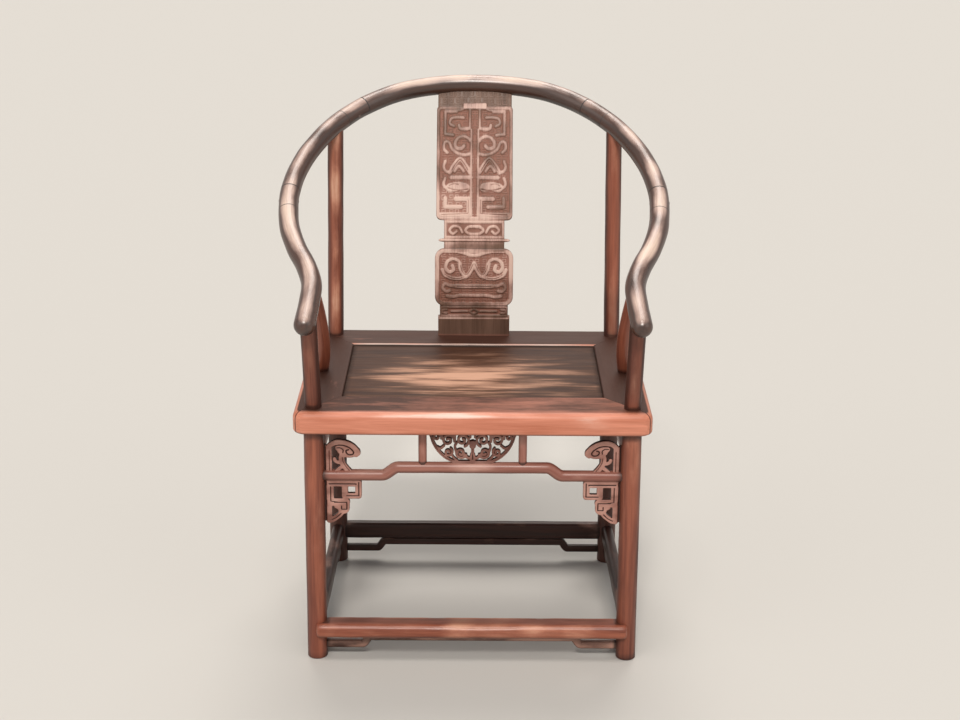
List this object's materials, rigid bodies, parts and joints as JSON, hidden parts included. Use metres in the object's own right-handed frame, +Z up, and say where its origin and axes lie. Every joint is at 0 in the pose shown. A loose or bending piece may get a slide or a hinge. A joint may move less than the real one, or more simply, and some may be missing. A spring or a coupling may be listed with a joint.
{
  "type": "horseshoe back armchair",
  "caption": "Wooden armchair with a horseshoe crest rail sloping to the arms, a bent carved back splat, a framed plank seat and legs joined by stretchers.",
  "frame": {"origin": "on the floor, under the middle of the chair's outer box", "axes": "+Z up, +Y towards the back of the chair, so the sitter faces -Y, +X to the right as seen from the front"},
  "size_m": [0.6778, 0.6146, 0.9327],
  "materials": {
    "crest_lacquer": "old dark lacquer over hardwood, worn glossy by hands",
    "frame_lacquer": "red-brown lacquer over hardwood, satin",
    "seat_edge_lacquer": "red-brown lacquer, rubbed thin along the edges, satin",
    "seat_board": "lacquer worn dull by sitting",
    "bare_wood": "bare planed hardwood",
    "stretcher_lacquer": "thin worn lacquer, satin",
    "lower_lacquer": "shaded red-brown lacquer, satin",
    "carved_lacquer": "carved hardwood under lacquer, satin",
    "splat_lacquer": "carved hardwood under lacquer, satin"
  },
  "bodies": {
    "root": {"arm_grip_left": "crest_lacquer", "arm_grip_right": "crest_lacquer", "back_splat": "splat_lacquer", "bracket_lower_left": "carved_lacquer", "bracket_lower_right": "carved_lacquer", "bracket_upper_left": "carved_lacquer", "bracket_upper_right": "carved_lacquer", "centre_carving": "carved_lacquer", "crest_rail_centre": "crest_lacquer", "crest_rail_shoulder_left": "crest_lacquer", "crest_rail_shoulder_right": "crest_lacquer", "footrest_rail": "frame_lacquer", "hump_stretcher_front": "stretcher_lacquer", "hump_stretcher_left": "stretcher_lacquer", "hump_stretcher_rear": "stretcher_lacquer", "hump_stretcher_right": "stretcher_lacquer", "leg_front_left": "frame_lacquer", "leg_front_right": "frame_lacquer", "leg_rear_left": "frame_lacquer", "leg_rear_right": "frame_lacquer", "lower_apron_front": "lower_lacquer", "lower_apron_left": "lower_lacquer", "lower_apron_rear": "lower_lacquer", "lower_apron_right": "lower_lacquer", "lower_stretcher_left": "lower_lacquer", "lower_stretcher_rear": "lower_lacquer", "lower_stretcher_right": "lower_lacquer", "scarf_peg_centre_left": "crest_lacquer", "scarf_peg_centre_right": "crest_lacquer", "scarf_peg_grip_left": "crest_lacquer", "scarf_peg_grip_right": "crest_lacquer", "seat_batten_left": "bare_wood", "seat_batten_right": "bare_wood", "seat_panel": "seat_board", "seat_rail_front": "seat_edge_lacquer", "seat_rail_left": "seat_edge_lacquer", "seat_rail_rear": "seat_edge_lacquer", "seat_rail_right": "seat_edge_lacquer", "side_post_left": "frame_lacquer", "side_post_right": "frame_lacquer", "strut_front_left": "stretcher_lacquer", "strut_front_right": "stretcher_lacquer", "strut_left_front": "stretcher_lacquer", "strut_left_rear": "stretcher_lacquer", "strut_rear_left": "stretcher_lacquer", "strut_rear_right": "stretcher_lacquer", "strut_right_front": "stretcher_lacquer", "strut_right_rear": "stretcher_lacquer"}
  },
  "joints": []
}
